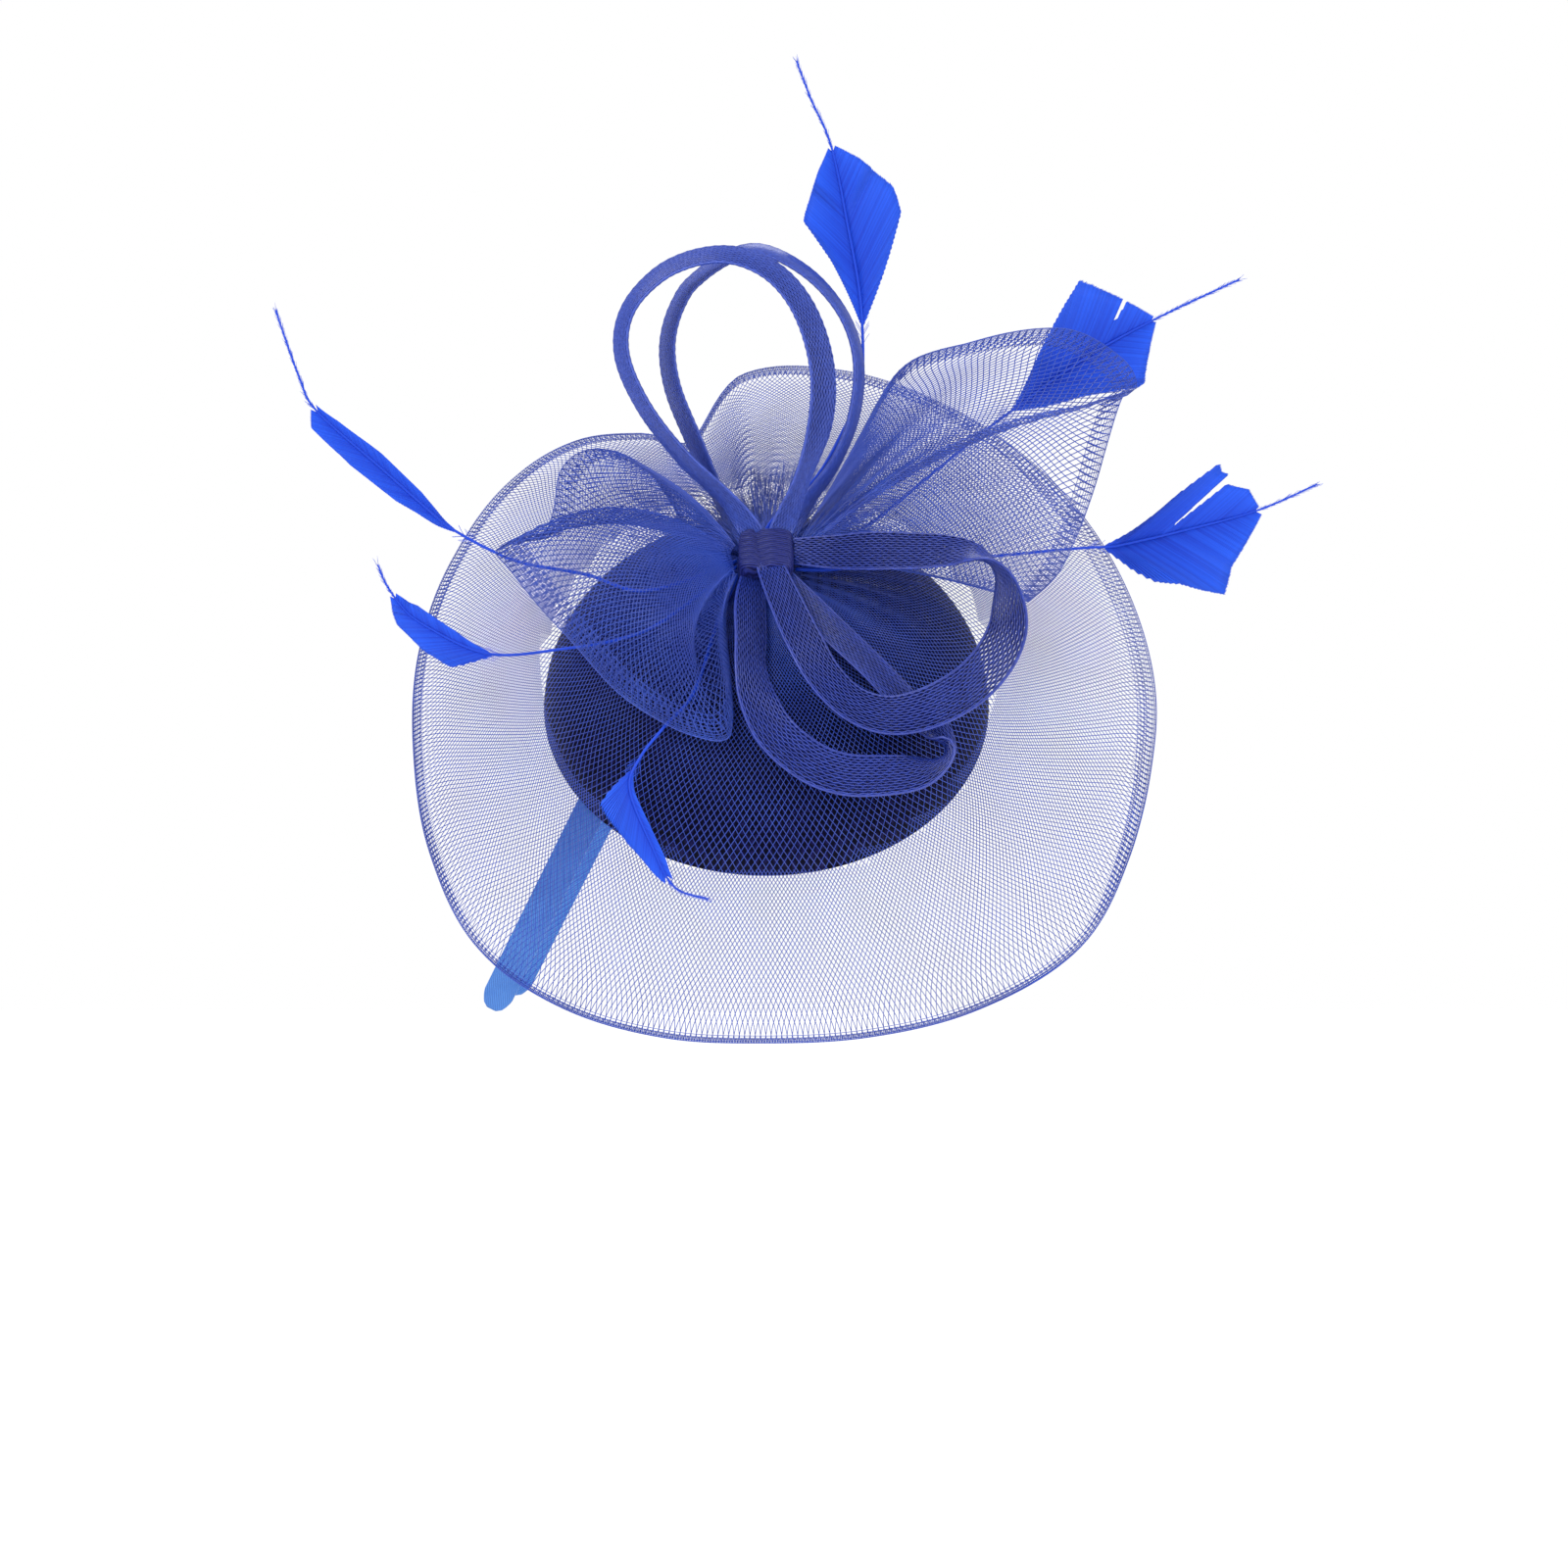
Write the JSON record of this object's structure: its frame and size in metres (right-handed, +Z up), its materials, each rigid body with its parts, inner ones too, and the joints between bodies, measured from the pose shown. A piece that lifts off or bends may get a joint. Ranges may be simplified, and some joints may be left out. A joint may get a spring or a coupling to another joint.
{
  "type": "fascinator",
  "caption": "Fascinator with a small domed crown on a headband, a wide net veil, gathered net ruffles, satin ribbon loops in a knot and trimmed feather plumes.",
  "frame": {"origin": "middle of the crown's rim plane, where the crown sits on the head", "axes": "+X to the wearer's front (right in the picture), -Y towards the side that is seen, +Z up; the crown opens along +Y and down"},
  "size_m": [0.3468, 0.2177, 0.3229],
  "materials": {
    "navy_net": "dark navy net over a covered crown",
    "blue_net": "open royal-blue crinoline net, slightly shiny threads",
    "satin_ribbon": "blue satin tube ribbon with lengthwise ribs",
    "knot_satin": "dark blue satin wrap",
    "feather_blue": "bright blue dyed feather, matt with a soft sheen",
    "band_satin": "lighter blue satin-covered band"
  },
  "bodies": {
    "root": {"base": "navy_net", "headband": "band_satin", "veil": "blue_net", "left_ruffle": "blue_net", "right_ruffle": "blue_net", "upper_loop_front": "satin_ribbon", "upper_loop_back": "satin_ribbon", "right_loop": "satin_ribbon", "bottom_loop": "satin_ribbon", "knot": "knot_satin", "feather_top": "feather_blue", "feather_upper_right": "feather_blue", "feather_right": "feather_blue", "feather_left_upper": "feather_blue", "feather_left_lower": "feather_blue", "feather_bottom": "feather_blue"}
  },
  "joints": []
}
